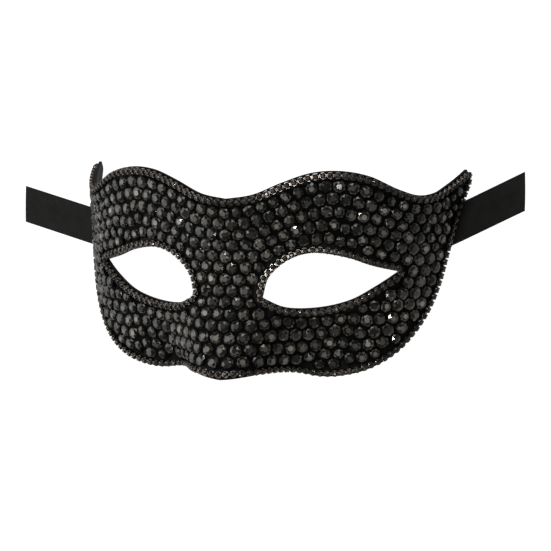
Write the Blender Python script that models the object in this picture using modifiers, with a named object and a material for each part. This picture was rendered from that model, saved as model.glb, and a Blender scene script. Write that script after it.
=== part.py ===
# Rhinestone masquerade mask with two ribbon ties, lying face up on its rim.
import math

import bpy
import numpy as np
from mathutils.geometry import delaunay_2d_cdt

MM = 0.001

# The flat pattern of one half, in millimetres: along the face from the nose, and up the face
TIP = (114.6, 43.2)
TOP_EDGE = [(0, 38.5), (12, 40.4), (24, 45.2), (36, 49), (48, 49.4), (60, 46.6), (72, 40.4),
            (82, 36.6), (91, 36.4), (99, 38.6), TIP]
LOWER_EDGE = [TIP, (116.6, 39.6), (113.6, 34.8), (107.8, 28), (102, 18), (97.2, 8), (92.8, -2),
              (87, -12), (79.6, -21), (70, -29.4), (58, -35.6), (46, -38.4), (36, -38.8), (27, -37.2),
              (18, -35.5), (9, -35.3), (0, -36.1)]
EYE_INNER = (15.5, -3.2)
EYE_OUTER = (71.5, 5.2)
EYE_UPPER_EDGE = [EYE_INNER, (18, 5.4), (26, 12.4), (36, 15.1), (49, 12.8), (60, 8.6), EYE_OUTER]
EYE_LOWER_EDGE = [EYE_OUTER, (61, -0.4), (50, -5.7), (37, -8.5), (25, -7.9), EYE_INNER]
EDGE_STEP = 5.0

# How the pattern bends round the face: the turn grows along the face, and the nose stands out
WRAP_TURN = math.radians(106.7)
WRAP_HALF_LENGTH = 82.6
WRAP_POWER = 3.1
PROFILE_LENGTH = 140.0
PROFILE_STEPS = 2801
NOSE_FOOT = -46.0
NOSE_HEAD = 34.0
NOSE_RISE = (29.0, 9.0)
NOSE_WIDTH = (14.0, 30.3)
NOSE_POWER = (4.0, 2.0)
NOSE_EASE = 2.5

# The moulded shell
SHELL_THICKNESS = 1.4
SHELL_ROW = 8.4
SHELL_COLUMN_AT_NOSE = 3.5
SHELL_COLUMN_AT_SIDE = 8.0
NOSE_COLUMNS = 8
SHELL_CLEAR = 3.4

# The stones: staggered rows that follow the top edge
STONE_PITCH = 5.5
STONE_ROW = 5.1
STONE_FIRST_ROW = -34.5
STONE_ROWS = 19
STONE_COLUMNS = 23
STONE_BEND = (-12.0, 45.0)
STONE_MEASURE_HEIGHT = -8.0
STONE_REACH = 6.4
STONE_EDGE_ROOM = 2.5
SETTLE_STEPS = 90
SETTLE_PUSH = 0.16
FIELD_GAP = 0.6
FIELD_BACKING = 0.5
STONE_HEIGHT = 1.6
TABLE_SHARE = 0.62
FIELD_LIMIT = 3.4
STONE_LEAST = 0.5

# The small stone chain round the rim and both eyes
CHAIN_RADIUS = 1.4
CHAIN_INSET = 1.6
CHAIN_GAP = 0.35
CHAIN_STEP = 7.4
CHAIN_SOFTENING = 1.3

# The ribbons: where they leave the rim, their heading over the floor, and their free lengths
RIBBON_WIDTH = 15.9
RIBBON_THICKNESS = 1.0
RIBBON_GLUED = 14.0
RIBBON_BEND = 1.6
RIBBON_GAP = 0.3
RIM_SAMPLE = 6.0
FOLD_SEARCH = (-6.0, 12.0)
RIBBONS = {
    "ribbon_right": {"side": 1, "height": 19.4, "heading": 28.8, "free": 34.2, "slant": 24.0},
    "ribbon_left": {"side": -1, "height": 13.7, "heading": 14.6, "free": 43.2, "slant": 24.0},
}

# How far the mask leans back as it lies on its rim, and the rim's lift over the ribbons' underside
LYING_TILT = math.radians(27.0)
RIM_LIFT = 0.12

SHELL_COLOUR = (0.012, 0.012, 0.013, 1.0)
STONE_COLOUR = (0.02, 0.02, 0.022, 1.0)
CHAIN_COLOUR = (0.05, 0.043, 0.04, 1.0)
RIBBON_COLOUR = (0.017, 0.016, 0.015, 1.0)


def clear_scene():
    for item in list(bpy.data.objects):
        bpy.data.objects.remove(item, do_unlink=True)


def make_material(name, colour, roughness, metallic):
    material = bpy.data.materials.new(name)
    material.use_nodes = True
    shader = material.node_tree.nodes["Principled BSDF"]
    shader.inputs["Base Color"].default_value = colour
    shader.inputs["Roughness"].default_value = roughness
    shader.inputs["Metallic"].default_value = metallic
    return material


def add_object(name, data, collection, material):
    item = bpy.data.objects.new(name, data)
    item.data.materials.append(material)
    collection.objects.link(item)
    return item


# A smooth line through the points, one cubic a stretch, about EDGE_STEP between its points
def smooth_line(points):
    points = np.array(points, float)
    before = 2 * points[0] - points[1]
    after = 2 * points[-1] - points[-2]
    padded = np.vstack([before, points, after])
    line = []
    for index in range(len(points) - 1):
        p0, p1, p2, p3 = padded[index:index + 4]
        steps = max(1, round(np.linalg.norm(p2 - p1) / EDGE_STEP))
        for step in range(steps):
            t = step / steps
            line.append(0.5 * (2 * p1 + (p2 - p0) * t + (2 * p0 - 5 * p1 + 4 * p2 - p3) * t ** 2
                               + (3 * p1 - p0 - 3 * p2 + p3) * t ** 3))
    line.append(points[-1])
    return np.array(line)


# The rim as a closed anticlockwise line: the right half from the bottom up, then its mirror image
def rim_line():
    top = smooth_line(TOP_EDGE)
    lower = smooth_line(LOWER_EDGE)
    right = np.vstack([lower[::-1], top[::-1][1:]])
    left = right[::-1][1:-1] * [-1, 1]
    return np.vstack([right, left])


# One eye as a closed clockwise line, so that the shell is on its left
def eye_line(side):
    line = np.vstack([smooth_line(EYE_UPPER_EDGE)[:-1], smooth_line(EYE_LOWER_EDGE)[:-1]])
    if side > 0:
        return line
    return line[::-1] * [-1, 1]


# For each point, how far the nearest point of the closed line is, and where it is
def nearest_on_line(points, line):
    start = line[None, :, :]
    along = np.roll(line, -1, axis=0)[None, :, :] - start
    offset = points[:, None, :] - start
    share = np.clip((offset * along).sum(2) / (along ** 2).sum(2), 0, 1)
    foot = start + share[:, :, None] * along
    distance = np.linalg.norm(points[:, None, :] - foot, axis=2)
    best = distance.argmin(1)
    rows = np.arange(len(points))
    return distance[rows, best], foot[rows, best]


def inside_line(points, line):
    x, y = points[:, None, 0], points[:, None, 1]
    x1, y1 = line[None, :, 0], line[None, :, 1]
    x2, y2 = np.roll(line[:, 0], -1)[None, :], np.roll(line[:, 1], -1)[None, :]
    spans = (y1 > y) != (y2 > y)
    rise = np.where(y2 == y1, 1.0, y2 - y1)
    crossing = x1 + (y - y1) * (x2 - x1) / rise
    return (spans & (x < crossing)).sum(1) % 2 == 1


# Clear distance from each point to the rim and eyes, below zero off the shell, and the nearest point
def clearance(points, lines):
    inside = inside_line(points, lines[0])
    for eye in lines[1:]:
        inside &= ~inside_line(points, eye)
    found = [nearest_on_line(points, line) for line in lines]
    distances = np.array([distance for distance, foot in found])
    feet = np.array([foot for distance, foot in found])
    best = distances.argmin(0)
    rows = np.arange(len(points))
    return np.where(inside, 1, -1) * distances[best, rows], feet[best, rows]


# The wrapped face line: the turn reached after each length, added up to a place across and back
def wrap_profile():
    length = np.linspace(0, PROFILE_LENGTH, PROFILE_STEPS)
    grown = length ** WRAP_POWER
    turn = WRAP_TURN * grown / (grown + WRAP_HALF_LENGTH ** WRAP_POWER)
    step = length[1] - length[0]
    across = np.concatenate([[0], np.cumsum((np.cos(turn[1:]) + np.cos(turn[:-1])) / 2) * step])
    back = np.concatenate([[0], np.cumsum((np.sin(turn[1:]) + np.sin(turn[:-1])) / 2) * step])
    return length, across, back


LENGTHS, ACROSS, BACK = wrap_profile()


# A place on the flat pattern, bent to the face: x right, y back into the face, z up. The nose is
# higher, narrower and squarer towards its foot
def bend(flat):
    along, height = flat[:, 0], flat[:, 1]
    share = np.clip((NOSE_HEAD - height) / (NOSE_HEAD - NOSE_FOOT), 0, 1) ** NOSE_EASE
    rise, width, power = (head + (foot - head) * share for foot, head in (NOSE_RISE, NOSE_WIDTH, NOSE_POWER))
    across = np.sign(along) * np.interp(abs(along), LENGTHS, ACROSS)
    back = np.interp(abs(along), LENGTHS, BACK) - rise * np.exp(-(abs(along) / width) ** power)
    return np.stack([across, back, height], 1)


def outward(flat):
    step = 0.05
    run = bend(flat + [step, 0]) - bend(flat - [step, 0])
    climb = bend(flat + [0, step]) - bend(flat - [0, step])
    normal = np.cross(run, climb)
    return normal / np.linalg.norm(normal, axis=1)[:, None]


def raised(flat, height):
    return bend(flat) + outward(flat) * height


# The face turned to lie on its back: its up leans over to y, its front faces up
def laid(points):
    x, y, z = points.T
    return np.stack([x, z * math.cos(LYING_TILT) + y * math.sin(LYING_TILT),
                     z * math.sin(LYING_TILT) - y * math.cos(LYING_TILT)], 1)


def floor_level(rim):
    inner = laid(raised(rim, -SHELL_THICKNESS))
    outer = laid(bend(rim))
    return min(inner[:, 2].min(), outer[:, 2].min()) - RIM_LIFT


def placed(points, floor):
    return (laid(points) - [0, 0, floor]) * MM


# Points inside the shell's outline: staggered columns, closer together at the nose
def shell_points(lines):
    steps = [SHELL_COLUMN_AT_NOSE] * NOSE_COLUMNS + [SHELL_COLUMN_AT_SIDE] * 12
    columns = np.concatenate([[0], np.cumsum(steps)])
    flat = []
    for index, column in enumerate(columns):
        shift = SHELL_ROW / 2 * (index % 2)
        for height in np.arange(-45, 55, SHELL_ROW) + shift:
            flat.append((column, height))
            if column > 0:
                flat.append((-column, height))
    flat = np.array(flat)
    clear, foot = clearance(flat, lines)
    return flat[clear > SHELL_CLEAR]


# The shell's outer face as an open triangle mesh over the pattern, thickened inward
def make_shell(lines, floor, collection, material):
    flat = np.vstack(lines + [shell_points(lines)])
    edges = []
    first = 0
    for line in lines:
        count = len(line)
        edges += [(first + index, first + (index + 1) % count) for index in range(count)]
        first += count
    result = delaunay_2d_cdt([tuple(point) for point in flat], edges, [], 0, 0.001)
    flat = np.array([tuple(point) for point in result[0]])
    faces = np.array([tuple(face) for face in result[2]])
    middles = flat[faces].mean(1)
    clear, foot = clearance(middles, lines)
    faces = faces[clear > 0]
    used = np.unique(faces)
    number = {old: new for new, old in enumerate(used)}
    faces = [[number[corner] for corner in face] for face in faces.tolist()]
    mesh = bpy.data.meshes.new("mask_shell")
    mesh.from_pydata(placed(bend(flat[used]), floor).tolist(), [], faces)
    shell = add_object("mask_shell", mesh, collection, material)
    solid = shell.modifiers.new("wall", "SOLIDIFY")
    solid.thickness = SHELL_THICKNESS * MM
    solid.offset = -1.0
    solid.use_even_offset = True
    return shell


# Lengths measured over the nose, back to lengths along the pattern
def over_nose(distance):
    line = np.stack([LENGTHS, np.full(len(LENGTHS), STONE_MEASURE_HEIGHT)], 1)
    steps = np.linalg.norm(np.diff(bend(line), axis=0), axis=1)
    run = np.concatenate([[0], np.cumsum(steps)])
    return np.sign(distance) * np.interp(abs(distance), run, LENGTHS)


# A lattice place, in columns and rows, on the pattern: the upper rows take the top edge's waves
def stone_place(column, row):
    along = over_nose(column * STONE_PITCH)
    base = STONE_FIRST_ROW + row * STONE_ROW
    share = np.clip((base - STONE_BEND[0]) / (STONE_BEND[1] - STONE_BEND[0]), 0, 1)
    top = smooth_line(TOP_EDGE)
    wave = np.interp(abs(along), top[:, 0], top[:, 1]) - top[:, 1].mean()
    return np.stack([along, base + wave * share], 1)


# The six corners round a cell, in half columns and thirds of a row
CELL_CORNERS = [(0, 2), (-1, 1), (-1, -1), (0, -2), (1, -1), (1, 1)]


def cell_corners(column, row):
    middle = 2 * column + row % 2
    return [(middle + across, 3 * row + up) for across, up in CELL_CORNERS]


# The cells whose middles are far enough from every edge, kept where they join the largest patch
def stone_cells(lines):
    cells = [(column, row) for row in range(STONE_ROWS)
             for column in range(-STONE_COLUMNS, STONE_COLUMNS + 1)]
    middles = np.array([(column + row % 2 / 2, row) for column, row in cells])
    clear, foot = clearance(stone_place(middles[:, 0], middles[:, 1]), lines)
    kept = [cell for cell, room in zip(cells, clear) if room > FIELD_LIMIT + STONE_LEAST]
    owners = {}
    for cell in kept:
        for corner in cell_corners(*cell):
            owners.setdefault(corner, []).append(cell)
    patches = []
    waiting = set(kept)
    while waiting:
        patch = [waiting.pop()]
        for cell in patch:
            for corner in cell_corners(*cell):
                near = [other for other in owners[corner] if other in waiting]
                waiting.difference_update(near)
                patch += near
        patches.append(patch)
    return sorted(max(patches, key=len))


# Places that come too near an edge are drawn back to the limit
def drawn_back(flat, lines, limit):
    clear, foot = clearance(flat, lines)
    short = clear < limit
    away = (flat - foot) * np.sign(clear)[:, None]
    away /= np.maximum(np.linalg.norm(away, axis=1), 1e-6)[:, None]
    return np.where(short[:, None], foot + away * limit, flat)


# Stones closer than their reach push each other apart, so that they fill the face evenly
def settled(middles, lines):
    places = middles.copy()
    for step in range(SETTLE_STEPS):
        offset = places[:, None] - places[None]
        on_face = bend(places)
        distance = np.linalg.norm(on_face[:, None] - on_face[None], axis=2)
        np.fill_diagonal(distance, STONE_REACH)
        flat_distance = np.maximum(np.linalg.norm(offset, axis=2), 1e-6)
        push = np.maximum(STONE_REACH - distance, 0) / flat_distance
        places += SETTLE_PUSH * (push[:, :, None] * offset).sum(1)
        places = drawn_back(places, lines, FIELD_LIMIT + STONE_EDGE_ROOM)
    return places


# The field of stones: a thin backing, and on each cell a cut stone whose table is turned half a step
def make_stones(lines, floor, collection, material):
    cells = stone_cells(lines)
    corners = sorted({corner for cell in cells for corner in cell_corners(*cell)})
    number = {corner: index for index, corner in enumerate(corners)}
    lattice = np.array(corners)
    loops = np.array([[number[corner] for corner in cell_corners(*cell)] for cell in cells])
    planned = np.array([(column + row % 2 / 2, row) for column, row in cells])
    planned = stone_place(planned[:, 0], planned[:, 1])
    moved = settled(planned, lines) - planned
    shift = np.zeros((len(corners), 2))
    np.add.at(shift, loops.ravel(), np.repeat(moved, 6, axis=0))
    shift /= np.bincount(loops.ravel())[:, None]
    flat = stone_place(lattice[:, 0] / 2, lattice[:, 1] / 3) + shift
    for attempt in range(3):
        flat = drawn_back(flat, lines, FIELD_LIMIT)
    middles = flat[loops].mean(1)
    groove = FIELD_GAP + FIELD_BACKING
    under = raised(flat, FIELD_GAP)
    over = raised(flat, groove)
    centres = raised(middles, groove)
    normals = outward(middles)
    half_way = (over[loops] + over[np.roll(loops, -1, axis=1)]) / 2
    reach = (half_way - centres[:, None, :]) * TABLE_SHARE
    reach -= (reach * normals[:, None, :]).sum(2)[:, :, None] * normals[:, None, :]
    tables = centres[:, None, :] + reach + normals[:, None, :] * STONE_HEIGHT

    points = np.vstack([under, over, tables.reshape(-1, 3)])
    first_over = len(under)
    first_table = first_over + len(over)
    faces = []
    sides = {}
    for cell, loop in enumerate(loops.tolist()):
        table = [first_table + 6 * cell + corner for corner in range(6)]
        faces.append(table)
        faces.append(loop[::-1])
        for corner in range(6):
            here, ahead = loop[corner], loop[(corner + 1) % 6]
            faces.append((first_over + here, first_over + ahead, table[corner]))
            faces.append((first_over + ahead, table[(corner + 1) % 6], table[corner]))
            if (ahead, here) in sides:
                del sides[(ahead, here)]
            else:
                sides[(here, ahead)] = True
    for here, ahead in sides:
        faces.append((here, ahead, first_over + ahead, first_over + here))
    mesh = bpy.data.meshes.new("stone_field")
    mesh.from_pydata(placed(points, floor).tolist(), [], faces)
    return add_object("stone_field", mesh, collection, material)


# A closed line set in from an edge, its sharp turns softened, on the left of the line
def inset_line(line, inset):
    fine = []
    for here, ahead in zip(line, np.roll(line, -1, axis=0)):
        steps = max(1, round(np.linalg.norm(ahead - here) / 0.5))
        fine += [here + (ahead - here) * step / steps for step in range(steps)]
    fine = np.array(fine)
    along = np.roll(fine, -1, axis=0) - np.roll(fine, 1, axis=0)
    along /= np.linalg.norm(along, axis=1)[:, None]
    moved = fine + np.stack([-along[:, 1], along[:, 0]], 1) * inset
    distance, foot = nearest_on_line(moved, line)
    moved = moved[distance > inset * 0.97]
    reach = np.arange(-8, 9)
    weights = np.exp(-(reach * 0.5 / CHAIN_SOFTENING) ** 2 / 2)
    softened = sum(np.roll(moved, shift, axis=0) * weight for shift, weight in zip(reach, weights))
    return softened / weights.sum()


# Points along a closed line, twice as close together round the nose
def chain_points(line):
    ahead = np.roll(line, -1, axis=0)
    length = np.linalg.norm(bend(ahead) - bend(line), axis=1)
    need = length / CHAIN_STEP * (1 + np.exp(-(line[:, 0] / 20) ** 2))
    total = np.concatenate([[0], np.cumsum(need)])
    count = round(total[-1])
    places = np.arange(count) / count * total[-1]
    closed = np.vstack([line, line[:1]])
    return np.stack([np.interp(places, total, closed[:, 0]), np.interp(places, total, closed[:, 1])], 1)


# A chain as a closed tube on the shell's outer face
def make_chain(name, line, floor, collection, material):
    flat = chain_points(inset_line(line, CHAIN_INSET))
    points = placed(raised(flat, CHAIN_GAP + CHAIN_RADIUS), floor)
    curve = bpy.data.curves.new(name, "CURVE")
    curve.dimensions = "3D"
    spline = curve.splines.new("POLY")
    spline.points.add(len(points) - 1)
    for place, point in zip(spline.points, points):
        place.co = (*point, 1)
    spline.use_cyclic_u = True
    curve.bevel_depth = CHAIN_RADIUS * MM
    curve.bevel_resolution = 2
    return add_object(name, curve, collection, material)


# The direction of the lower rim at a height on the pattern, and its place along the face there
def rim_at(height):
    lower = smooth_line(LOWER_EDGE)[::-1]
    rising = lower[lower[:, 0] > 60]
    ahead = np.interp([height - RIM_SAMPLE, height, height + RIM_SAMPLE], rising[:, 1], rising[:, 0])
    direction = np.array([ahead[2] - ahead[0], 2 * RIM_SAMPLE])
    return np.array([ahead[1], height]), direction / np.linalg.norm(direction)


# A ribbon glued inside the shell, folded under the rim and laid out over the floor
def make_ribbon(name, shape, floor, collection, material):
    side = shape["side"]
    depth = SHELL_THICKNESS + RIBBON_GAP + RIBBON_THICKNESS / 2
    place, rim_flat = rim_at(shape["height"])
    ends = np.array([place - rim_flat, place + rim_flat])
    rim_floor = np.diff(laid(raised(ends, -depth))[:, :2], axis=0)[0]
    rim_floor /= np.linalg.norm(rim_floor)
    heading = math.radians(shape["heading"])
    out_floor = np.array([math.cos(heading), math.sin(heading)])
    angle = math.acos(float(out_floor @ rim_floor))
    turn = math.atan2(rim_flat[1], rim_flat[0]) - angle
    out_flat = np.array([math.cos(turn), math.sin(turn)])

    rest = RIBBON_THICKNESS / 2
    rows = []
    for across in np.linspace(-RIBBON_WIDTH / 2, RIBBON_WIDTH / 2, 4):
        start = place + rim_flat * across / math.sin(angle)
        lengths = np.linspace(*FOLD_SEARCH, 721)
        line = laid(raised(start - lengths[:, None] * out_flat, -depth)) - [0, 0, floor]
        touching = int(np.argmin(abs(line[:, 2] - rest)))
        corner = line[touching]
        inner = RIBBON_BEND + np.linspace(RIBBON_GLUED, 0, 5)
        glued = laid(raised(start - (lengths[touching] + inner)[:, None] * out_flat, -depth))
        glued -= [0, 0, floor]
        run_end = shape["free"] + across * (math.tan(math.radians(shape["slant"])) - 1 / math.tan(angle))
        outer = np.linspace(RIBBON_BEND, run_end, 5)
        open_run = corner + outer[:, None] * np.array([*out_floor, 0.0])
        steps = np.linspace(0, 1, 6)[1:-1, None]
        turned = (1 - steps) ** 2 * glued[-1] + 2 * steps * (1 - steps) * corner + steps ** 2 * open_run[0]
        row = np.vstack([glued, turned, open_run])
        row[:, 2] = np.maximum(row[:, 2], rest)
        rows.append(row * [side, 1, 1])
    rows = np.array(rows)
    across_count, along_count = rows.shape[:2]
    index = np.arange(across_count * along_count).reshape(across_count, along_count)
    quads = np.stack([index[:-1, :-1], index[:-1, 1:], index[1:, 1:], index[1:, :-1]], -1).reshape(-1, 4)
    if side < 0:
        quads = quads[:, ::-1]
    mesh = bpy.data.meshes.new(name)
    mesh.from_pydata((rows.reshape(-1, 3) * MM).tolist(), [], quads.tolist())
    ribbon = add_object(name, mesh, collection, material)
    solid = ribbon.modifiers.new("cloth", "SOLIDIFY")
    solid.thickness = RIBBON_THICKNESS * MM
    solid.offset = 0.0
    solid.use_even_offset = True
    return ribbon


def solid_points(item, graph):
    solid = item.evaluated_get(graph)
    mesh = solid.to_mesh()
    points = np.empty(3 * len(mesh.vertices))
    mesh.vertices.foreach_get("co", points)
    solid.to_mesh_clear()
    return points.reshape(-1, 3)


# The origin goes to the middle of the underside of everything
def centre_all(objects, collection):
    bpy.context.view_layer.update()
    graph = bpy.context.evaluated_depsgraph_get()
    points = np.vstack([solid_points(item, graph) for item in objects])
    middle = (points.max(0) + points.min(0)) / 2
    base = bpy.data.objects.new("mask_origin", None)
    collection.objects.link(base)
    base.location = (-middle[0], -middle[1], -points[:, 2].min())
    for item in objects:
        item.parent = base


def main():
    clear_scene()
    collection = bpy.data.collections.new("rhinestone_masquerade_mask")
    bpy.context.scene.collection.children.link(collection)
    shell_material = make_material("black moulded shell", SHELL_COLOUR, 0.45, 0.0)
    stone_material = make_material("jet cut stones", STONE_COLOUR, 0.12, 0.0)
    chain_material = make_material("dark plated chain", CHAIN_COLOUR, 0.3, 0.8)
    ribbon_material = make_material("black ribbon", RIBBON_COLOUR, 0.85, 0.0)

    lines = [rim_line(), eye_line(1), eye_line(-1)]
    floor = floor_level(lines[0])
    objects = [
        make_shell(lines, floor, collection, shell_material),
        make_stones(lines, floor, collection, stone_material),
        make_chain("edge_chain", lines[0], floor, collection, chain_material),
        make_chain("eye_chain_right", lines[1], floor, collection, chain_material),
        make_chain("eye_chain_left", lines[2], floor, collection, chain_material),
    ]
    for name, shape in RIBBONS.items():
        objects.append(make_ribbon(name, shape, floor, collection, ribbon_material))
    centre_all(objects, collection)


main()
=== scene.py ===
# Rhinestone masquerade mask: fine shell, cut stones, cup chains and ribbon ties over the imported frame
import math

import bpy
import numpy as np
from mathutils import Matrix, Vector
from mathutils.geometry import delaunay_2d_cdt


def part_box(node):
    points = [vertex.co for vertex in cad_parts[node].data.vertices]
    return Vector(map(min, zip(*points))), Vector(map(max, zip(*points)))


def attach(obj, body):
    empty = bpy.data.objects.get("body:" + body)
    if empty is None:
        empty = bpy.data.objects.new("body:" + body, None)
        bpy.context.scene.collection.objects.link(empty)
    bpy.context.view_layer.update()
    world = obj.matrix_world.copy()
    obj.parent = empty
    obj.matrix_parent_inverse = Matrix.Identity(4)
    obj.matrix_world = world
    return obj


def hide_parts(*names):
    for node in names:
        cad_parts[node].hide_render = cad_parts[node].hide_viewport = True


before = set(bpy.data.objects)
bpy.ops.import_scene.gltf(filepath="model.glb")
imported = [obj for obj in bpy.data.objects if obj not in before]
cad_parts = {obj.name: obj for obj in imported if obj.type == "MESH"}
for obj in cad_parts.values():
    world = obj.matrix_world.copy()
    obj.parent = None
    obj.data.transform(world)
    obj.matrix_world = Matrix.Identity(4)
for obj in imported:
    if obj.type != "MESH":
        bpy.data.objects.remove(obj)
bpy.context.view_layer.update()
print("frame loaded:", ", ".join(sorted(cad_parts)))

mm = 0.001
rng = np.random.default_rng(7)

# the flat pattern of one half, millimetres along the face and up the face
pattern = {
    "top": [(0, 38.5), (12, 40.4), (24, 45.2), (36, 49), (48, 49.4), (60, 46.6), (72, 40.4),
            (82, 36.6), (91, 36.4), (99, 38.6), (114.6, 43.2)],
    "lower": [(114.6, 43.2), (116.6, 39.6), (113.6, 34.8), (107.8, 28), (102, 18), (97.2, 8), (92.8, -2),
              (87, -12), (79.6, -21), (70, -29.4), (58, -35.6), (46, -38.4), (36, -38.8), (27, -37.2),
              (18, -35.5), (9, -35.3), (0, -36.1)],
    "eyeUpper": [(15.5, -3.2), (18, 5.4), (26, 12.4), (36, 15.1), (49, 12.8), (60, 8.6), (71.5, 5.2)],
    "eyeLower": [(71.5, 5.2), (61, -0.4), (50, -5.7), (37, -8.5), (25, -7.9), (15.5, -3.2)],
    "cadStep": 5.0, "alongSpan": (-118, 118), "heightSpan": (-45, 55),
}

# how the pattern wraps round the face, how the nose stands out, and how the mask leans back;
# the nose's rise, width and power are each given at its foot and then at its head
form = {
    "wrapTurn": math.radians(106.7), "wrapHalf": 82.6, "wrapPower": 3.1, "wrapEnd": 140, "wrapPoints": 2801,
    "noseFoot": -46.0, "noseHead": 34.0, "noseRise": (29.0, 9.0), "noseWidth": (14.0, 30.3),
    "nosePower": (4.0, 2.0), "noseEase": 2.5,
    "lean": math.radians(27.0), "rimLift": 0.12, "thickness": 1.4, "slopeStep": 0.05,
}
leastLength = 1e-6  # keeps a division by a length from being one by zero


# Catmull-Rom line: each stretch is a cubic through its two ends, its slopes from the points either side
def smoothLine(points, step):
    points = np.array(points, float)
    padded = np.vstack([2 * points[0] - points[1], points, 2 * points[-1] - points[-2]])
    stretches = []
    for p0, p1, p2, p3 in zip(padded, padded[1:], padded[2:], padded[3:]):
        t = np.arange(max(1, round(np.linalg.norm(p2 - p1) / step)))[:, None]
        t = t / len(t)
        stretches.append(0.5 * (2 * p1 + (p2 - p0) * t + (2 * p0 - 5 * p1 + 4 * p2 - p3) * t ** 2
                                + (3 * p1 - p0 - 3 * p2 + p3) * t ** 3))
    return np.vstack(stretches + [points[-1:]])


# The rim and both eyes as closed lines with the shell on their left
def edgeLines(step):
    right = np.vstack([smoothLine(pattern["lower"], step)[::-1], smoothLine(pattern["top"], step)[::-1][1:]])
    rim = np.vstack([right, right[::-1][1:-1] * [-1, 1]])
    eye = np.vstack([smoothLine(pattern["eyeUpper"], step)[:-1], smoothLine(pattern["eyeLower"], step)[:-1]])
    return [rim, eye, eye[::-1] * [-1, 1]]


# Distance from each point to a closed line, and the nearest point on it
def nearestOn(points, line):
    along = np.roll(line, -1, axis=0) - line
    offset = points[:, None] - line[None]
    share = np.clip((offset * along).sum(2) / (along ** 2).sum(1), 0, 1)
    foot = line[None] + share[..., None] * along
    distance = np.linalg.norm(points[:, None] - foot, axis=2)
    best = distance.argmin(1)
    rows = np.arange(len(points))
    return distance[rows, best], foot[rows, best]


# A point is inside where a ray to the right crosses the line an odd number of times
def insideOf(points, line):
    x, y = points[:, None, 0], points[:, None, 1]
    ahead = np.roll(line, -1, axis=0)
    spans = (line[:, 1] > y) != (ahead[:, 1] > y)
    rise = np.where(ahead[:, 1] == line[:, 1], 1.0, ahead[:, 1] - line[:, 1])
    return (spans & (x < line[:, 0] + (y - line[:, 1]) * (ahead[:, 0] - line[:, 0]) / rise)).sum(1) % 2 == 1


# Room to the nearest edge of the pattern, below zero off the shell
def roomAt(points, lines):
    inside = insideOf(points, lines[0]) & ~insideOf(points, lines[1]) & ~insideOf(points, lines[2])
    found = [nearestOn(points, line) for line in lines]
    distances = np.array([distance for distance, foot in found])
    feet = np.array([foot for distance, foot in found])
    best = distances.argmin(0)
    rows = np.arange(len(points))
    return np.where(inside, 1, -1) * distances[best, rows], feet[best, rows]


def runningSum(values):
    return np.concatenate([[0], np.cumsum(values)])


# Turn at length s is wrapTurn * s^p / (s^p + half^p); its cosine and sine add up to the wrapped line
def wrapProfile():
    length = np.linspace(0, form["wrapEnd"], form["wrapPoints"])
    grown = length ** form["wrapPower"]
    turn = form["wrapTurn"] * grown / (grown + form["wrapHalf"] ** form["wrapPower"])
    step = length[1] - length[0]
    across = runningSum((np.cos(turn[1:]) + np.cos(turn[:-1])) / 2) * step
    back = runningSum((np.sin(turn[1:]) + np.sin(turn[:-1])) / 2) * step
    return length, across, back


wrapLengths, wrapAcross, wrapBack = wrapProfile()


# Pattern place to face place: the wrapped line less the nose, a bell of rise * exp(-(s / width)^power)
def bendFace(flat):
    along, height = flat[:, 0], flat[:, 1]
    share = np.clip((form["noseHead"] - height) / (form["noseHead"] - form["noseFoot"]), 0, 1)
    share = share ** form["noseEase"]
    rise, width, power = (head + (foot - head) * share
                          for foot, head in (form["noseRise"], form["noseWidth"], form["nosePower"]))
    across = np.sign(along) * np.interp(abs(along), wrapLengths, wrapAcross)
    back = np.interp(abs(along), wrapLengths, wrapBack) - rise * np.exp(-(abs(along) / width) ** power)
    return np.stack([across, back, height], 1)


# Unit normal: the cross product of the run along the face and the climb up it
def faceNormal(flat):
    step = form["slopeStep"]
    run = bendFace(flat + [step, 0]) - bendFace(flat - [step, 0])
    climb = bendFace(flat + [0, step]) - bendFace(flat - [0, step])
    normal = np.cross(run, climb)
    normal /= np.linalg.norm(normal, axis=1)[:, None]
    return normal


def raised(flat, height):
    return bendFace(flat) + faceNormal(flat) * height


# Turned back about x by the lean, so that the front faces up
def lean(points):
    x, y, z = points.T
    cosine, sine = math.cos(form["lean"]), math.sin(form["lean"])
    return np.stack([x, z * cosine + y * sine, z * sine - y * cosine], 1)


cadLines = edgeLines(pattern["cadStep"])
rimOuter = lean(bendFace(cadLines[0]))
rimInner = lean(raised(cadLines[0], -form["thickness"]))
floorLevel = min(rimOuter[:, 2].min(), rimInner[:, 2].min()) - form["rimLift"]
shellLow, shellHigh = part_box("mask_shell")
middleX = (shellLow[0] + shellHigh[0]) / 2 / mm
shiftY = shellHigh[1] / mm - max(rimOuter[:, 1].max(), rimInner[:, 1].max())
origin = np.array([middleX, shiftY, -floorLevel])  # the face's own zero, in the frame


def placed(points):
    return (lean(points) + origin) * mm


def addPiece(name, points, faces, material, smooth=False):
    mesh = bpy.data.meshes.new(name)
    mesh.from_pydata(points.tolist(), [], [tuple(face) for face in faces])
    mesh.polygons.foreach_set("use_smooth", np.full(len(mesh.polygons), smooth))
    mesh.materials.append(material)
    piece = bpy.data.objects.new(name, mesh)
    bpy.context.scene.collection.objects.link(piece)
    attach(piece, "root")
    return piece


def newMaterial(name, colour, roughness, metallic=0.0):
    material = bpy.data.materials.new(name)
    material.use_nodes = True
    shader = material.node_tree.nodes["Principled BSDF"]
    shader.inputs["Base Color"].default_value = (*colour, 1)
    shader.inputs["Roughness"].default_value = roughness
    shader.inputs["Metallic"].default_value = metallic
    return material, material.node_tree, shader


def addNode(tree, kind, **values):
    node = tree.nodes.new(kind)
    for key, value in values.items():
        if key in node.inputs:
            node.inputs[key].default_value = value
        else:
            setattr(node, key, value)
    return node


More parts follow.
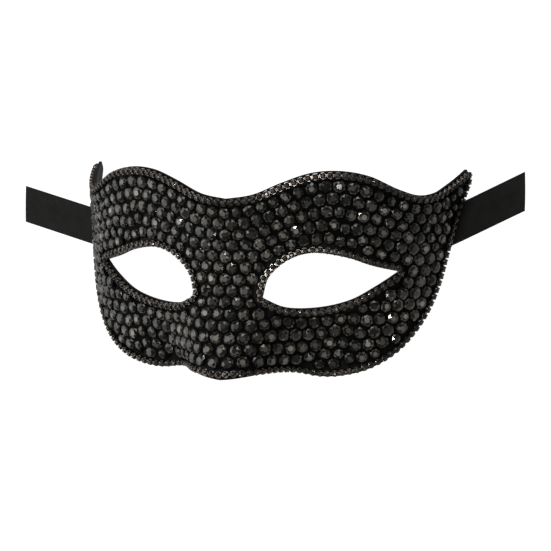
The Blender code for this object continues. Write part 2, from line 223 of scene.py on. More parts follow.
# A ramp between two (position, colour) ends, from a node's factor to a shader input
def addRamp(tree, source, target, *ends):
    ramp = tree.nodes.new("ShaderNodeValToRGB")
    for element, (position, colour) in zip(ramp.color_ramp.elements, ends):
        element.position, element.color = position, (*colour, 1)
    tree.links.new(source.outputs["Fac"], ramp.inputs[0])
    tree.links.new(ramp.outputs[0], target)


# Noise on the piece's own axes, whose scale counts in metres
def addNoise(tree, place, scale, detail):
    noise = addNode(tree, "ShaderNodeTexNoise", Scale=scale, Detail=detail)
    tree.links.new(place.outputs["Object"], noise.inputs["Vector"])
    return noise


def addBump(tree, shader, source, strength, distance):
    bump = addNode(tree, "ShaderNodeBump", Strength=strength, Distance=distance)
    tree.links.new(source, bump.inputs["Height"])
    tree.links.new(bump.outputs["Normal"], shader.inputs["Normal"])


# Smooth moulded black shell: faint orange peel and a few dull patches
def shellMaterial():
    material, tree, shader = newMaterial("blackMouldedShell", (0.008, 0.008, 0.0085), 0.45)
    shader.inputs["Specular IOR Level"].default_value = 0.12
    place = tree.nodes.new("ShaderNodeTexCoord")
    peel = addNoise(tree, place, 900.0, 2.0)
    cloud = addNoise(tree, place, 70.0, 4.0)
    addRamp(tree, cloud, shader.inputs["Roughness"], (0.35, (0.4,) * 3), (0.7, (0.55,) * 3))
    addRamp(tree, cloud, shader.inputs["Base Color"],
            (0.3, (0.006, 0.006, 0.0065)), (0.75, (0.011, 0.0105, 0.01)))
    addBump(tree, shader, peel.outputs["Fac"], 0.18, 0.0001)
    return material


# Jet stones: near black, each facet a little different by its own tint value, which paints the facet's
# reflection of the light into its colour as a painted glint
def stoneMaterial(name, dark, light, roughness):
    material, tree, shader = newMaterial(name, dark, roughness)
    shader.inputs["IOR"].default_value = 1.6
    shader.inputs["Coat Weight"].default_value = 0.15
    shader.inputs["Coat Roughness"].default_value = 0.03
    toneAndGlint = addNode(tree, "ShaderNodeAttribute", attribute_name="toneAndGlint")
    # the ramp runs from the black of jet to the warm grey of a painted facet reflection
    addRamp(tree, toneAndGlint, shader.inputs["Base Color"], (0.0, dark), (1.0, light))
    place = tree.nodes.new("ShaderNodeTexCoord")
    haze = addNoise(tree, place, 260.0, 3.0)
    addRamp(tree, haze, shader.inputs["Roughness"],
            (0.35, (roughness,) * 3), (0.8, (roughness + 0.13,) * 3))
    return material


# Plated cups: dark warm metal, a little brighter where the plating is rubbed
def cupMaterial():
    material, tree, shader = newMaterial("darkWarmPlating", (0.20, 0.178, 0.16), 0.26, 1.0)
    place = tree.nodes.new("ShaderNodeTexCoord")
    rub = addNoise(tree, place, 420.0, 4.0)
    addRamp(tree, rub, shader.inputs["Base Color"],
            (0.38, (0.14, 0.124, 0.112)), (0.72, (0.34, 0.30, 0.265)))
    addRamp(tree, rub, shader.inputs["Roughness"], (0.3, (0.34,) * 3), (0.75, (0.2,) * 3))
    return material


# Matte base between the stones
def backingMaterial():
    material, tree, shader = newMaterial("blackStoneBacking", (0.003, 0.003, 0.003), 0.7)
    shader.inputs["Specular IOR Level"].default_value = 0.06
    place = tree.nodes.new("ShaderNodeTexCoord")
    grain = addNoise(tree, place, 1500.0, 2.0)
    addRamp(tree, grain, shader.inputs["Base Color"], (0.35, (0.002,) * 3), (0.75, (0.007, 0.0065, 0.006)))
    addBump(tree, shader, grain.outputs["Fac"], 0.5, 0.0001)
    return material


# Woven ribbon: threads both ways on the ribbon's own map, which is in metres across and along
def ribbonMaterial():
    material, tree, shader = newMaterial("blackWovenRibbon", (0.014, 0.013, 0.013), 0.82)
    shader.inputs["Sheen Weight"].default_value = 0.25
    shader.inputs["Sheen Roughness"].default_value = 0.5
    shader.inputs["Specular IOR Level"].default_value = 0.25
    place = tree.nodes.new("ShaderNodeTexCoord")
    ribs = addNode(tree, "ShaderNodeTexWave", bands_direction="Y", Scale=620.0, Distortion=0.6)
    warp = addNode(tree, "ShaderNodeTexWave", bands_direction="X", Scale=480.0, Distortion=0.4)
    cloud = addNode(tree, "ShaderNodeTexNoise", Scale=180.0, Detail=5.0)
    for texture in (ribs, warp, cloud):
        tree.links.new(place.outputs["UV"], texture.inputs["Vector"])
    both = addNode(tree, "ShaderNodeMath", operation="MULTIPLY")
    tree.links.new(ribs.outputs["Fac"], both.inputs[0])
    tree.links.new(warp.outputs["Fac"], both.inputs[1])
    addBump(tree, shader, both.outputs[0], 0.55, 0.00012)
    addRamp(tree, cloud, shader.inputs["Base Color"],
            (0.3, (0.010, 0.0095, 0.009)), (0.75, (0.021, 0.02, 0.019)))
    return material


materials = {
    "shell": shellMaterial(),
    # each stone material's second colour is a painted reflection, the tone of the lightest facets' glints
    "stones": stoneMaterial("jetCutStones", (0.0012, 0.0012, 0.0012), (0.44, 0.415, 0.36), 0.07),
    "chainStones": stoneMaterial("jetChainStones", (0.0012, 0.0012, 0.0012), (0.26, 0.235, 0.205), 0.06),
    "cups": cupMaterial(),
    "backing": backingMaterial(),
    "ribbon": ribbonMaterial(),
}
print("materials made")

# The shell: one triangle mesh over the pattern, bent to the face, with a rounded wall
shell = {"border": 1.4, "column": 2.2, "row": 2.4, "clear": 1.2, "roundEdge": 0.3, "merge": 0.0001}


# Triangles between closed edge lines and the points inside them
def patternMesh(lines, inner):
    flat = np.vstack(lines + [inner])
    starts = np.cumsum([0] + [len(line) for line in lines])
    edges = []
    for start, line in zip(starts, lines):
        index = np.arange(len(line))
        edges += (start + np.stack([index, (index + 1) % len(line)], 1)).tolist()
    made = delaunay_2d_cdt(flat.tolist(), edges, [], 0, shell["merge"])
    flat = np.array([tuple(point) for point in made[0]])
    faces = np.array([tuple(face) for face in made[2]])
    room, foot = roomAt(flat[faces].mean(1), lines)
    faces = faces[room > 0]
    used, numbered = np.unique(faces, return_inverse=True)
    return flat[used], numbered.reshape(-1, 3)


# Staggered points inside the lines, at least clear away from them
def innerPoints(lines, column, row, clear):
    columns = np.arange(*pattern["alongSpan"], column)
    rows = np.arange(*pattern["heightSpan"], row)
    along, height = np.meshgrid(columns, rows)
    height = height + row / 2 * (np.arange(len(columns)) % 2)[None]
    flat = np.stack([along.ravel(), height.ravel()], 1)
    room, foot = roomAt(flat, lines)
    return flat[room > clear]


def makeShell():
    lines = edgeLines(shell["border"])
    flat, faces = patternMesh(lines, innerPoints(lines, shell["column"], shell["row"], shell["clear"]))
    piece = addPiece("maskShell", placed(bendFace(flat)), faces, materials["shell"], smooth=True)
    wall = piece.modifiers.new("wall", "SOLIDIFY")
    wall.thickness = form["thickness"] * mm
    wall.offset = -1
    wall.use_even_offset = True
    rounded = piece.modifiers.new("roundedRim", "BEVEL")
    rounded.width = shell["roundEdge"] * mm
    rounded.segments = 2
    rounded.limit_method = "ANGLE"
    rounded.angle_limit = math.radians(50)
    rounded.harden_normals = True
    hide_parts("mask_shell")
    print("shell made:", len(faces), "triangles a side")


# The stones: staggered rows that follow the top edge, each stone in its own cell
stones = {
    "pitch": 5.5, "row": 5.1, "firstRow": -34.5, "rows": 19, "columns": 23, "bend": (-12.0, 45.0),
    "measured": -8.0, "reach": 6.4, "edgeRoom": 2.5, "steps": 90, "push": 0.16,
    "limit": 3.4, "least": 0.5, "drawings": 3, "gap": 0.6, "backing": 0.5, "sunk": 0.1, "height": 1.3,
    "heightShares": (0.55, 0.45), "sides": 8, "largest": 2.85, "smallest": 1.2, "tilt": 6.0,
    "fill": 0.97, "roundness": 1.1, "grazing": 0.05, "unbounded": 99.0,
}
# radius and height of a cut stone's rings, and the two shape values of each draw: a random tone per stone
# (own), and the painted facet reflections, dark on most facets (facets) and lighter painted glints on the
# tables (tables)
cut = {"base": (0.96, 0.0), "girdle": (1.0, 0.2), "kite": (0.8, 0.68), "table": (0.42, 1.0)}
toneAndGlintDraws = {"least": 0.35, "range": 1.3, "own": (1.5, 2.0), "facets": (0.35, 3.8), "tables": (1.1, 2.0)}
# a cell's six corners about its middle, in half columns and thirds of a row
cellCorners = np.array([(0, 2), (-1, 1), (-1, -1), (0, -2), (1, -1), (1, 1)])


# Lengths over the nose back to lengths on the pattern, measured at one height
def overNose(distance):
    line = bendFace(np.stack([wrapLengths, np.full(len(wrapLengths), stones["measured"])], 1))
    run = runningSum(np.linalg.norm(np.diff(line, axis=0), axis=1))
    return np.sign(distance) * np.interp(abs(distance), run, wrapLengths)


# Column and row to pattern: the upper rows take a growing share of the top edge's wave
def stonePlace(column, row):
    along = overNose(column * stones["pitch"])
    base = stones["firstRow"] + row * stones["row"]
    low, high = stones["bend"]
    share = np.clip((base - low) / (high - low), 0, 1)
    top = smoothLine(pattern["top"], pattern["cadStep"])
    wave = np.interp(abs(along), top[:, 0], top[:, 1]) - top[:, 1].mean()
    return np.stack([along, base + wave * share], 1)


# Places nearer an edge than the limit are drawn straight back to it
def drawnBack(flat, lines, limit):
    room, foot = roomAt(flat, lines)
    away = (flat - foot) * np.sign(room)[:, None]
    away /= np.maximum(np.linalg.norm(away, axis=1), leastLength)[:, None]
    return np.where((room < limit)[:, None], foot + away * limit, flat)


# Each step a stone moves by push * sum of (reach - distance) away from every nearer stone
def settled(places, lines):
    places = places.copy()
    for step in range(stones["steps"]):
        offset = places[:, None] - places[None]
        onFace = bendFace(places)
        distance = np.linalg.norm(onFace[:, None] - onFace[None], axis=2)
        np.fill_diagonal(distance, stones["reach"])
        apart = np.maximum(np.linalg.norm(offset, axis=2), leastLength)
        push = np.maximum(stones["reach"] - distance, 0) / apart
        places += stones["push"] * (push[:, :, None] * offset).sum(1)
        places = drawnBack(places, lines, stones["limit"] + stones["edgeRoom"])
    return places


# Cells whose middles have room: all their corners on the pattern, and each cell's loop of corner numbers
def stoneCells(lines):
    rows, columns = np.meshgrid(np.arange(stones["rows"]),
                                np.arange(-stones["columns"], stones["columns"] + 1), indexing="ij")
    rows, columns = rows.ravel(), columns.ravel()
    room, foot = roomAt(stonePlace(columns + rows % 2 / 2, rows), lines)
    kept = room > stones["limit"] + stones["least"]
    middle = np.stack([2 * columns[kept] + rows[kept] % 2, 3 * rows[kept]], 1)
    lattice = middle[:, None] + cellCorners[None]
    keys, number = np.unique(lattice.reshape(-1, 2), axis=0, return_inverse=True)
    number = number.ravel()
    planned = stonePlace(middle[:, 0] / 2, middle[:, 1] / 3)
    shift = np.zeros((len(keys), 2))
    np.add.at(shift, number, np.repeat(settled(planned, lines) - planned, len(cellCorners), axis=0))
    flat = stonePlace(keys[:, 0] / 2, keys[:, 1] / 3) + shift / np.bincount(number)[:, None]
    for drawing in range(stones["drawings"]):
        flat = drawnBack(flat, lines, stones["limit"])
    return flat, number.reshape(-1, len(cellCorners))


# A cut stone of unit radius: base ring, girdle ring, a ring of kite tops half a step on, and the table
def stoneRings(sides):
    angle = np.arange(sides) * 2 * math.pi / sides
    half = angle + math.pi / sides
    rings = [(angle, *cut["base"]), (angle, *cut["girdle"]), (half, *cut["kite"]), (angle, *cut["table"])]
    points = np.vstack([np.stack([np.cos(turn) * reach, np.sin(turn) * reach, np.full(sides, up)], 1)
                        for turn, reach, up in rings])
    here = np.arange(sides)
    ahead = (here + 1) % sides
    base, girdle, kite, table = (here + ring * sides for ring in range(4))
    quads = np.stack([base, ahead, ahead + sides, girdle], 1)
    lowTriangles = np.vstack([np.stack([girdle, ahead + sides, kite], 1),
                              np.stack([ahead + sides, ahead + 2 * sides, kite], 1)])
    highTriangles = np.vstack([np.stack([kite, ahead + 3 * sides, table], 1),
                               np.stack([kite, ahead + 2 * sides, ahead + 3 * sides], 1)])
    faces = quads.tolist() + lowTriangles.tolist() + highTriangles.tolist()
    faces += [table.tolist(), base[::-1].tolist()]
    return points, faces


# Many copies of one small form: point = centre + radius * (x * right + y * up) + height * z * normal,
# where the radius is one value a copy or one a point
def copies(template, faces, centre, right, up, normal, radius, height):
    x, y, z = template.T[:, None, :, None]
    points = (centre[:, None] + radius.reshape(len(centre), -1, 1) * (x * right[:, None] + y * up[:, None])
              + height[:, None, None] * z * normal[:, None])
    count = len(template)
    offsets = np.arange(len(centre)) * count
    made = [[corner + offset for corner in face] for offset in offsets.tolist() for face in faces]
    return points.reshape(-1, 3), made


def unit(vectors):
    return vectors / np.linalg.norm(vectors, axis=1)[:, None]


# Every facet gets its own painted reflection value, drawn dark for most and lighter for the tables as
# painted glints, times the stone's own random tone
def setToneAndGlint(piece, count):
    facets = len(piece.data.polygons) // count
    own = toneAndGlintDraws["least"] + toneAndGlintDraws["range"] * rng.beta(*toneAndGlintDraws["own"], (count, 1))
    values = rng.beta(*toneAndGlintDraws["facets"], (count, facets))
    # the table gets the lightest painted glint
    values[:, -2] = rng.beta(*toneAndGlintDraws["tables"], count)  # the table is the last facet but one
    attribute = piece.data.attributes.new("toneAndGlint", "FLOAT", "FACE")
    attribute.data.foreach_set("value", np.clip(own * values, 0, 1).ravel().astype(np.float32))


# How far each cell reaches from its middle in each direction, the least n.p / n.d over its sides,
# and the room to its nearest side
def cellReach(outline, directions):
    side = np.roll(outline, -1, axis=1) - outline
    away = np.stack([side[..., 1], -side[..., 0]], 2)
    away /= np.linalg.norm(away, axis=2)[..., None]
    room = (away * outline).sum(2)
    away = np.where(room[..., None] < 0, -away, away)
    facing = away @ directions.T
    ahead = np.maximum(facing, stones["grazing"])
    reach = np.where(facing > stones["grazing"], abs(room)[..., None] / ahead, stones["unbounded"])
    return reach.min(1), abs(room).min(1)


# Normals tipped by a random sway across them, and a random turn about each
def tipped(normal, spread):
    sway = rng.normal(0, spread, normal.shape)
    turn = rng.uniform(0, 2 * math.pi, len(normal))[:, None]
    return unit(normal + sway - (sway * normal).sum(1)[:, None] * normal), turn


def makeStones():
    flat, loops = stoneCells(cadLines)
    middles = flat[loops].mean(1)
    backing = addPiece("stoneBacking", *backingSheet(flat, loops), materials["backing"])

    base = stones["gap"] + stones["backing"] - stones["sunk"]
    centre = raised(middles, base)
    normal, turn = tipped(faceNormal(middles), math.tan(math.radians(stones["tilt"])))
    first = unit(np.cross(normal, np.array([0.0, 0.0, 1.0])))
    second = np.cross(normal, first)
    right = first * np.cos(turn) + second * np.sin(turn)
    up = np.cross(normal, right)
    template, faces = stoneRings(stones["sides"])
    outline = raised(flat, base)[loops] - centre[:, None]
    outline = np.stack([(outline * right[:, None]).sum(2), (outline * up[:, None]).sum(2)], 2)
    angle = np.arctan2(template[:, 1], template[:, 0])
    reach, room = cellReach(outline, np.stack([np.cos(angle), np.sin(angle)], 1))
    room = np.maximum(room, stones["smallest"])[:, None]
    radius = np.minimum(np.minimum(reach * stones["fill"], room * stones["roundness"]), stones["largest"])
    least, grown = stones["heightShares"]
    height = stones["height"] * (least + grown * radius.min(1) / stones["largest"])
    points, made = copies(template, faces, centre, right, up, normal, radius, height)
    piece = addPiece("cutStones", placed(points), made, materials["stones"])
    setToneAndGlint(piece, len(middles))
    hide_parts("stone_field")
    print("stones made:", len(middles))


# Border edges of the cells, those that only one cell has, as their starts and their ends
def borderEdges(loops):
    pairs = np.stack([loops, np.roll(loops, -1, axis=1)], 2).reshape(-1, 2)
    known = {tuple(pair) for pair in pairs.tolist()}
    return np.array([pair for pair in pairs.tolist() if (pair[1], pair[0]) not in known]).T


# The backing: every cell as a fan on two levels, and a wall along the border
def backingSheet(flat, loops):
    count, cells = len(flat), len(loops)
    middles = flat[loops].mean(1)
    top = stones["gap"] + stones["backing"]
    levels = [raised(flat, stones["gap"]), raised(middles, stones["gap"]),
              raised(flat, top), raised(middles, top)]
    points = placed(np.vstack(levels))
    here, ahead = loops, np.roll(loops, -1, axis=1)
    middle = np.repeat(np.arange(cells)[:, None], len(cellCorners), axis=1)
    above = np.stack([here, ahead, middle + count], 2).reshape(-1, 3) + count + cells
    below = np.stack([ahead, here, middle + count], 2).reshape(-1, 3)
    start, end = borderEdges(loops)
    wall = np.stack([start, end, end + count + cells, start + count + cells], 1)
    return points, above.tolist() + below.tolist() + wall.tolist()


# The cup chains: one link each pitch along a line set in from the edge
chain = {
    "inset": 1.6, "pitch": 3.12, "base": 0.3, "cupRadius": 1.5, "stoneRadius": 1.22, "stoneBase": 0.95,
    "stoneHeight": 0.95, "stoneSides": 8, "stoneSway": 0.05, "sides": 10, "lineStep": 1.0,
    "fineStep": 0.25, "keptShare": 0.97, "softening": 0.6, "softReach": 8,
    "bar": {"half": 0.5, "height": 0.42, "size": (0.42, 0.22)},
}
# the cup's wall as shares of its radius and heights in millimetres; a claw's stations also have half sizes
cupWall = [(0, 0), (0.86, 0), (1, 0.75), (0.98, 1.15), (0.82, 1.15), (0.74, 0.8), (0, 0.8)]
claw = [(0.93, 1.05, (0.3, 0.2)), (0.86, 1.62, (0.26, 0.14)), (0.6, 1.78, (0.16, 0.08))]


# A closed line moved to its left by the inset, without its crossings at sharp turns, then smoothed by
# weights of exp(-(distance / softening)^2 / 2)
def insetLine(line, inset):
    ahead = np.roll(line, -1, axis=0)
    counts = np.maximum(1, np.round(np.linalg.norm(ahead - line, axis=1) / chain["fineStep"]).astype(int))
    share = np.concatenate([np.arange(count) / count for count in counts])
    fine = np.repeat(line, counts, axis=0) + np.repeat(ahead - line, counts, axis=0) * share[:, None]
    along = unit(np.roll(fine, -1, axis=0) - np.roll(fine, 1, axis=0))
    moved = fine + np.stack([-along[:, 1], along[:, 0]], 1) * inset
    distance, foot = nearestOn(moved, line)
    moved = moved[distance > inset * chain["keptShare"]]
    reach = np.arange(-chain["softReach"], chain["softReach"] + 1)
    weights = np.exp(-(reach * chain["fineStep"] / chain["softening"]) ** 2 / 2)
    smoothed = sum(np.roll(moved, shift, axis=0) * weight for shift, weight in zip(reach, weights))
    return smoothed / weights.sum()


# Whole links round the line, evenly spaced on the bent face
def linkPlaces(line):
    ahead = np.roll(line, -1, axis=0)
    total = runningSum(np.linalg.norm(bendFace(ahead) - bendFace(line), axis=1))
    count = round(total[-1] / chain["pitch"])
    places = np.arange(count) / count * total[-1]
    closed = np.vstack([line, line[:1]])
    return np.stack([np.interp(places, total, closed[:, 0]), np.interp(places, total, closed[:, 1])], 1)


# A turned form: the profile's radius and height carried round the axis
def turnedForm(profile, sides):
    profile = np.array(profile, float)
    angle = np.arange(sides) * 2 * math.pi / sides + math.pi / sides
    rings = profile[1:-1]
    ring = np.stack([np.cos(angle)[None] * rings[:, :1], np.sin(angle)[None] * rings[:, :1],
                     np.repeat(rings[:, 1:], sides, axis=1)], 2).reshape(-1, 3)
    points = np.vstack([ring, [[0, 0, profile[0, 1]], [0, 0, profile[-1, 1]]]])
    here = np.arange(sides)
    ahead = (here + 1) % sides
    last = (len(rings) - 1) * sides
    faces = [[len(ring), b, a] for a, b in zip(here.tolist(), ahead.tolist())]
    for level in range(len(rings) - 1):
        low = level * sides
        faces += np.stack([here + low, ahead + low, ahead + low + sides, here + low + sides], 1).tolist()
    faces += [[len(ring) + 1, last + a, last + b] for a, b in zip(here.tolist(), ahead.tolist())]
    return points, faces


# A tapered bar between two rectangles, each given as its middle, its half width and half height, and
# the direction of its width
def taperedBar(start, end):
    corners = np.array([(-1, -1), (1, -1), (1, 1), (-1, 1)])
    points = []
    for (x, y, z), (sideways, upward), direction in (start, end):
        direction = np.array(direction)
        points.append(np.array([x, y, z]) + corners[:, :1] * sideways * direction[None]
                      + corners[:, 1:] * np.array([0, 0, upward]))
    faces = [[3, 2, 1, 0], [4, 5, 6, 7]] + [[a, (a + 1) % 4, (a + 1) % 4 + 4, a + 4] for a in range(4)]
    return np.vstack(points), faces


def joinForms(forms):
    points, faces, first = [], [], 0
    for formPoints, formFaces in forms:
        points.append(formPoints)
        faces += [[corner + first for corner in face] for face in formFaces]
        first += len(formPoints)
    return np.vstack(points), faces


# One cup: a flared wall with a thin lip, four claws over the stone and a bar to the next cup
def cupForm():
    cup = chain["cupRadius"]
    forms = [turnedForm([(cup * share, height) for share, height in cupWall], chain["sides"])]
    for quarter in range(4):
        angle = math.pi / 4 + quarter * math.pi / 2
        out = np.array([math.cos(angle), math.sin(angle), 0])
        side = (-math.sin(angle), math.cos(angle), 0)
        stations = [(out * cup * share + [0, 0, height], sizes, side) for share, height, sizes in claw]
        forms += [taperedBar(low, high) for low, high in zip(stations, stations[1:])]
    half, bar = chain["pitch"] / 2, chain["bar"]
    forms.append(taperedBar(*(((along, 0, bar["height"]), bar["size"], (0, 1, 0))
                              for along in (half - bar["half"], half + bar["half"]))))
    return joinForms(forms)


def makeChain(name, line, node):
    flat = linkPlaces(insetLine(line, chain["inset"]))
    centre = raised(flat, chain["base"])
    normal = faceNormal(flat)
    along = np.roll(centre, -1, axis=0) - np.roll(centre, 1, axis=0)
    along = unit(along - (along * normal).sum(1)[:, None] * normal)
    across = np.cross(normal, along)
    ones = np.ones(len(flat))
    cup, cupFaces = cupForm()
    points, faces = copies(cup, cupFaces, centre, along, across, normal, ones, ones)
    cups = addPiece(name + "Cups", placed(points), faces, materials["cups"])
    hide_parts(node)

    template, stoneFaces = stoneRings(chain["stoneSides"])
    upward, turn = tipped(normal, chain["stoneSway"])
    first = unit(np.cross(across, upward))
    second = np.cross(upward, first)
    right = first * np.cos(turn) + second * np.sin(turn)
    other = second * np.cos(turn) - first * np.sin(turn)
    points, faces = copies(template, stoneFaces, centre + normal * chain["stoneBase"], right, other, upward,
                           ones * chain["stoneRadius"], ones * chain["stoneHeight"])
    gems = addPiece(name + "Stones", placed(points), faces, materials["chainStones"])
    setToneAndGlint(gems, len(flat))
    print(name, "made:", len(flat), "links")


# The ribbons: glued inside the shell, folded under the rim, flat on the floor
ribbons = {
    "width": 15.9, "cadThickness": 1.0, "thickness": 0.5, "glued": 14.0, "bend": 1.6, "gap": 0.3,
    "across": 25, "alongGlued": 24, "alongBend": 12, "alongOpen": 64, "easeCount": 10,
    "rimSample": 6.0, "rimSide": 60, "foldSearch": (-6.0, 12.0, 721),
    "ribbonRight": {"side": 1, "height": 19.4, "heading": 28.8, "free": 34.2, "slant": 24.0,
                    "node": "ribbon_right"},
    "ribbonLeft": {"side": -1, "height": 13.7, "heading": 14.6, "free": 43.2, "slant": 24.0,
                   "node": "ribbon_left"},
}


# The lower rim's place and direction on the pattern at a height
def rimAt(height):
    lower = smoothLine(pattern["lower"], pattern["cadStep"])[::-1]
    rising = lower[lower[:, 0] > ribbons["rimSide"]]
    sample = ribbons["rimSample"]
    below, here, above = np.interp([height - sample, height, height + sample], rising[:, 1], rising[:, 0])
    direction = np.array([above - below, 2 * sample])
    return np.array([here, height]), direction / np.linalg.norm(direction)


# Each thread runs down the inner face, turns on a quadratic curve about the fold and runs out straight
def ribbonRows(shape):
    depth = form["thickness"] + ribbons["gap"] + ribbons["cadThickness"] / 2
    place, rimFlat = rimAt(shape["height"])
    rimFloor = np.diff(lean(raised(np.array([place - rimFlat, place + rimFlat]), -depth))[:, :2], axis=0)[0]
    rimFloor /= np.linalg.norm(rimFloor)
    heading = math.radians(shape["heading"])
    outFloor = np.array([math.cos(heading), math.sin(heading)])
    angle = math.acos(float(outFloor @ rimFloor))
    turn = math.atan2(rimFlat[1], rimFlat[0]) - angle
    outFlat = np.array([math.cos(turn), math.sin(turn)])
    rest = ribbons["cadThickness"] / 2
    lengths = np.linspace(*ribbons["foldSearch"])
    rows = []
    for across in np.linspace(-ribbons["width"] / 2, ribbons["width"] / 2, ribbons["across"]):
        start = place + rimFlat * across / math.sin(angle)
        line = lean(raised(start - lengths[:, None] * outFlat, -depth)) - [0, 0, floorLevel]
        touching = int(np.argmin(abs(line[:, 2] - rest)))
        corner = line[touching]
        inner = ribbons["bend"] + np.linspace(ribbons["glued"], 0, ribbons["alongGlued"])
        inside = start - (lengths[touching] + inner)[:, None] * outFlat
        glued = lean(raised(inside, -depth)) - [0, 0, floorLevel]
        runEnd = shape["free"] + across * (math.tan(math.radians(shape["slant"])) - 1 / math.tan(angle))
        outer = np.linspace(ribbons["bend"], runEnd, ribbons["alongOpen"])
        openRun = corner + outer[:, None] * np.array([*outFloor, 0.0])
        steps = np.linspace(0, 1, ribbons["alongBend"] + 2)[1:-1, None]
        turned = (1 - steps) ** 2 * glued[-1] + 2 * steps * (1 - steps) * corner + steps ** 2 * openRun[0]
        rows.append(np.vstack([glued, turned, openRun]))
    return np.array(rows)


def makeRibbon(name):
    shape = ribbons[name]
    rows = ribbonRows(shape)
    acrossCount, alongCount = rows.shape[:2]
    sag = (ribbons["cadThickness"] - ribbons["thickness"]) / 2
    pastFold = np.arange(alongCount) - ribbons["alongGlued"] - ribbons["alongBend"]
    rows[:, :, 2] -= sag * np.clip(pastFold / ribbons["easeCount"], 0, 1)
    lengths = runningSum(np.linalg.norm(np.diff(rows[acrossCount // 2], axis=0), axis=1))
    widthPlaces = np.linspace(0, ribbons["width"], acrossCount)
    points = rows.reshape(-1, 3) * [shape["side"], 1, 1] + [origin[0], origin[1], 0]
    index = np.arange(acrossCount * alongCount).reshape(acrossCount, alongCount)
    quads = np.stack([index[:-1, :-1], index[:-1, 1:], index[1:, 1:], index[1:, :-1]], -1).reshape(-1, 4)
    if shape["side"] < 0:
        quads = quads[:, ::-1]
    piece = addPiece(name, points * mm, quads.tolist(), materials["ribbon"], smooth=True)
    chart = piece.data.uv_layers.new(name="cloth")
    places = np.stack(np.meshgrid(widthPlaces, lengths, indexing="ij"), -1).reshape(-1, 2) * mm
    corners = np.empty(len(piece.data.loops), int)
    piece.data.loops.foreach_get("vertex_index", corners)
    chart.data.foreach_set("uv", places[corners].ravel())
    cloth = piece.modifiers.new("cloth", "SOLIDIFY")
    cloth.thickness = ribbons["thickness"] * mm
    cloth.offset = 0
    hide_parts(shape["node"])
    print(name, "made:", round(float(lengths[-1]), 1), "mm long")


makeShell()
makeStones()
chainNodes = {"edgeChain": "edge_chain", "eyeChainRight": "eye_chain_right",
              "eyeChainLeft": "eye_chain_left"}
for (name, node), line in zip(chainNodes.items(), edgeLines(chain["lineStep"])):
    makeChain(name, line, node)
makeRibbon("ribbonRight")
makeRibbon("ribbonLeft")

# The studio: pale floor, soft light from the left and above, small lamps for the glints
studio = {
    "floorSize": 6.0, "floorColour": (0.4, 0.4, 0.4), "worldColour": (1.0, 0.965, 0.9), "worldStrength": 0.1,
    "floorGlow": 0.3, "floorGlowSeen": 0.7,
    "lamps": [
        {"name": "leftSoftbox", "place": (-1.0, -0.1, 0.55), "size": 1.2, "power": 5.0},
        {"name": "topSoftbox", "place": (0.1, 0.45, 1.1), "size": 0.5, "power": 1.8},
        {"name": "glintLamp", "place": (0.25, -0.55, 0.9), "size": 0.05, "power": 1.0},
        {"name": "glintLampHigh", "place": (-0.3, 0.25, 1.1), "size": 0.05, "power": 1.0},
    ],
}


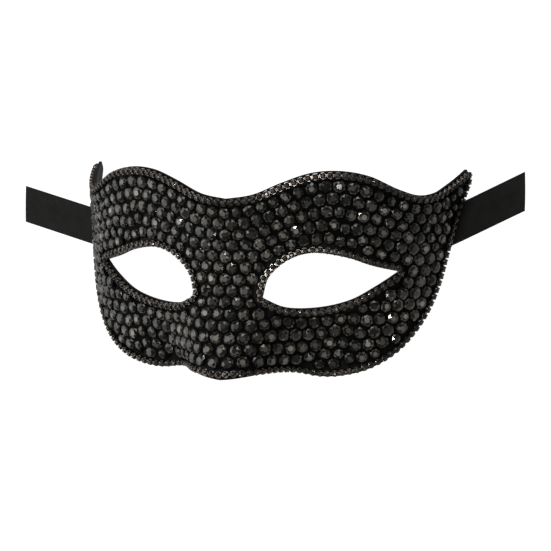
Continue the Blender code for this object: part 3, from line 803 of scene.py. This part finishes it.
def makeStudio():
    half = studio["floorSize"] / 2
    mesh = bpy.data.meshes.new("paleFloor")
    corners = [(-half, -half, 0), (half, -half, 0), (half, half, 0), (-half, half, 0)]
    mesh.from_pydata(corners, [], [(0, 1, 2, 3)])
    floorMaterial, tree, shader = newMaterial("paleStudioFloor", studio["floorColour"], 0.9)
    shader.inputs["Specular IOR Level"].default_value = 0.1
    shader.inputs["Emission Color"].default_value = (1, 1, 1, 1)
    # the floor glows floorGlow for every ray and floorGlowSeen more for the camera's own
    ray = tree.nodes.new("ShaderNodeLightPath")
    glow = addNode(tree, "ShaderNodeMath", operation="MULTIPLY_ADD")
    tree.links.new(ray.outputs["Is Camera Ray"], glow.inputs[0])
    glow.inputs[1].default_value = studio["floorGlowSeen"]
    glow.inputs[2].default_value = studio["floorGlow"]
    tree.links.new(glow.outputs[0], shader.inputs["Emission Strength"])
    mesh.materials.append(floorMaterial)
    floor = bpy.data.objects.new("paleFloor", mesh)
    bpy.context.scene.collection.objects.link(floor)
    world = bpy.data.worlds.new("softStudio")
    bpy.context.scene.world = world
    world.use_nodes = True
    background = world.node_tree.nodes["Background"]
    background.inputs["Color"].default_value = (*studio["worldColour"], 1)
    background.inputs["Strength"].default_value = studio["worldStrength"]
    for lamp in studio["lamps"]:
        light = bpy.data.lights.new(lamp["name"], "AREA")
        light.shape = "DISK"
        light.size = lamp["size"]
        light.energy = lamp["power"]
        item = bpy.data.objects.new(lamp["name"], light)
        place = Matrix.Translation(lamp["place"])
        aim = (-place.translation).to_track_quat("-Z", "Y").to_matrix().to_4x4()
        item.matrix_world = place @ aim
        bpy.context.scene.collection.objects.link(item)
    print("studio made")


# The camera, in the face's own axes: azimuth and elevation to the front of the face, then a small roll
view = {
    "azimuth": 0.3840, "elevation": 0.2094, "roll": 0.0395, "distance": 858.9, "target": (0, 20, 0),
    "pixelsPerMm": 2.2904, "centrePixel": (253.6, 274.5), "picture": 551, "sensor": 36.0,
}


def makeCamera():
    azimuth, elevation, roll = view["azimuth"], view["elevation"], view["roll"]
    ahead = np.array([math.sin(azimuth), -math.cos(azimuth), 0])
    back = ahead * math.cos(elevation) + [0, 0, math.sin(elevation)]
    right = np.array([math.cos(azimuth), math.sin(azimuth), 0])
    up = -ahead * math.sin(elevation) + [0, 0, math.cos(elevation)]
    axes = lean(np.array([right * math.cos(roll) - up * math.sin(roll),
                          right * math.sin(roll) + up * math.cos(roll), back]))
    place = placed((np.array(view["target"]) + view["distance"] * back)[None])[0]
    data = bpy.data.cameras.new("photoCamera")
    data.sensor_width = view["sensor"]
    data.lens = view["sensor"] * view["pixelsPerMm"] * view["distance"] / view["picture"]
    data.shift_x = 0.5 - view["centrePixel"][0] / view["picture"]
    data.shift_y = view["centrePixel"][1] / view["picture"] - 0.5
    data.clip_start, data.clip_end = 0.01, 20
    camera = bpy.data.objects.new("photoCamera", data)
    turned = Matrix(axes.T.tolist()).to_4x4()
    camera.matrix_world = Matrix.Translation(place.tolist()) @ turned
    bpy.context.scene.collection.objects.link(camera)
    bpy.context.scene.camera = camera


makeStudio()
makeCamera()
bpy.context.scene.view_settings.view_transform = "Standard"
